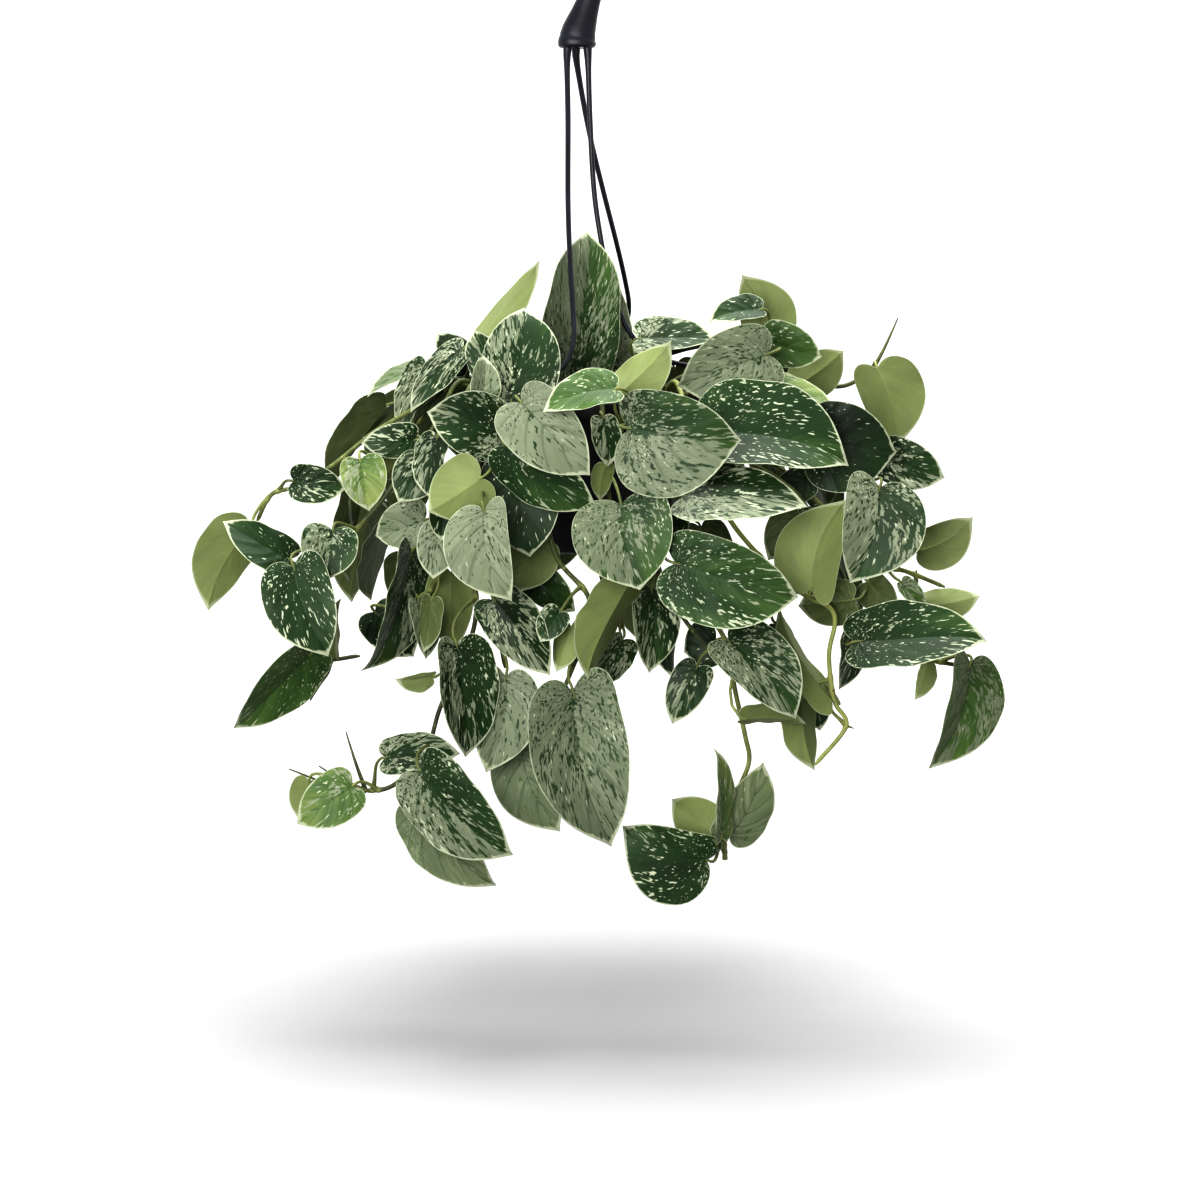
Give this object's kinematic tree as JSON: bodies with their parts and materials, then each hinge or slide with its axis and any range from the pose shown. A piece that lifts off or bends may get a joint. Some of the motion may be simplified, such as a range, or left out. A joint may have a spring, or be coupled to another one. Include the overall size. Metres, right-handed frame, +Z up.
{
  "type": "satin pothos in a hanging pot",
  "caption": "Trailing satin pothos in a round plastic pot, hung from a moulded hook with thin strands; its leafy stems spill over the rim and hang down all round.",
  "frame": {"origin": "the point inside the top of the hook's crook that bears on the rail or bracket, on the pot's axis", "axes": "+Z up along the pot's axis; -Y faces the viewer of the picture; +X to that viewer's right"},
  "size_m": [0.4832, 0.3887, 0.6123],
  "materials": {
    "hanger_plastic": "smooth moulded charcoal plastic",
    "pot_plastic": "smooth moulded black plastic",
    "soil": "crumbly peat compost",
    "leaf": "satin leaf with silver and cream markings"
  },
  "bodies": {
    "root": {"hanger": "hanger_plastic", "pot": "pot_plastic", "soil": "soil", "vine_back_centre": "leaf", "vine_back_centre_left": "leaf", "vine_back_left": "leaf", "vine_back_left_high": "leaf", "vine_back_right": "leaf", "vine_back_right_high": "leaf", "vine_back_right_inner": "leaf", "vine_centre_dark": "leaf", "vine_centre_heart": "leaf", "vine_centre_long": "leaf", "vine_centre_silver": "leaf", "vine_centre_top": "leaf", "vine_crown_back": "leaf", "vine_crown_centre": "leaf", "vine_crown_left": "leaf", "vine_left_arch": "leaf", "vine_left_cascade": "leaf", "vine_left_hang": "leaf", "vine_left_inner": "leaf", "vine_left_shoulder": "leaf", "vine_left_upper": "leaf", "vine_lime_front": "leaf", "vine_low_left": "leaf", "vine_low_right": "leaf", "vine_right_dark": "leaf", "vine_right_far": "leaf", "vine_right_grey": "leaf", "vine_right_heart": "leaf", "vine_right_high": "leaf", "vine_right_low": "leaf", "vine_right_top": "leaf"}
  },
  "joints": []
}
